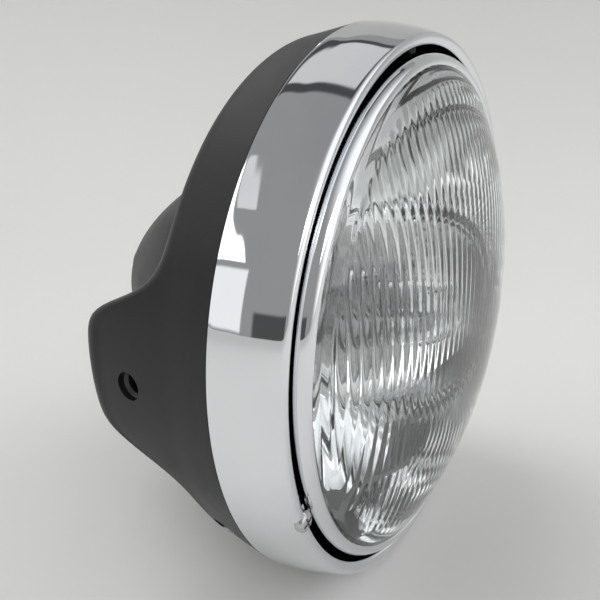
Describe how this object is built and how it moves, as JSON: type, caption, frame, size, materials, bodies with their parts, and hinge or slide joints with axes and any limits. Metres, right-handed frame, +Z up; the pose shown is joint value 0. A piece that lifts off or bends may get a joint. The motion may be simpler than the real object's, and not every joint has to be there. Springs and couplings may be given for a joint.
{
  "type": "motorcycle headlight",
  "caption": "Round motorcycle headlight with a moulded bucket, side lobes with fork-ear threads, chrome rim, adjuster screw and a domed fluted glass light unit on pivots",
  "frame": {"origin": "centre of the bounding box, on the lamp's axis", "axes": "-Y is the way the beam leaves, +Z is up, and +X points out of the ear hole opposite the beam adjusting screw"},
  "size_m": [0.19, 0.1542, 0.19],
  "materials": {
    "black": "fine moulded grain, soft sheen",
    "chrome": "polished plating",
    "mirror": "vapour-coated reflector",
    "glass": "pressed clear glass with vertical flutes",
    "bulb_clear": "thin clear glass",
    "steel": "bright zinc plated",
    "brass": "plain",
    "rubber": "matt black"
  },
  "bodies": {
    "shell": {"bucket": "black", "bucket_back": "black", "ear_insert_left": "steel", "ear_insert_right": "steel", "rear_grommet": "rubber", "trim_rim": "chrome", "rim_screw_left": "steel", "rim_screw_right": "steel", "rim_nut_left": "steel", "rim_nut_right": "steel", "pivot_screw_top": "steel", "pivot_screw_bottom": "steel", "adjust_spring": "steel"},
    "light_unit": {"adjust_nut": "steel", "carrier_ring": "steel", "unit_bezel": "chrome", "lens": "glass", "lens_seal": "rubber", "reflector": "mirror", "bulb_glass": "bulb_clear", "bulb_shield": "steel", "bulb_filaments": "steel", "bulb_base": "steel", "bulb_terminals": "brass", "bulb_clip": "steel", "dust_boot": "rubber", "position_bulb": "bulb_clear", "position_holder": "rubber"},
    "beam_screw": {"adjust_screw": "steel"}
  },
  "joints": [
    {"name": "beam_screw_turn", "type": "hinge", "parent": "shell", "child": "beam_screw", "pos_m": [-0.0807, -0.0555, -0.0361], "axis": [0, 1, 0], "range_deg": [-1815, 1815]},
    {"name": "beam_swing", "type": "hinge", "parent": "shell", "child": "light_unit", "pos_m": [0, -0.0478, 0], "axis": [0, 0, 1], "range_deg": [-2.5, 2.5], "deforming": ["adjust_spring"]}
  ],
  "couplings": [
    {"joint": "beam_screw_turn", "follows": "beam_swing", "ratio": 724.31}
  ]
}
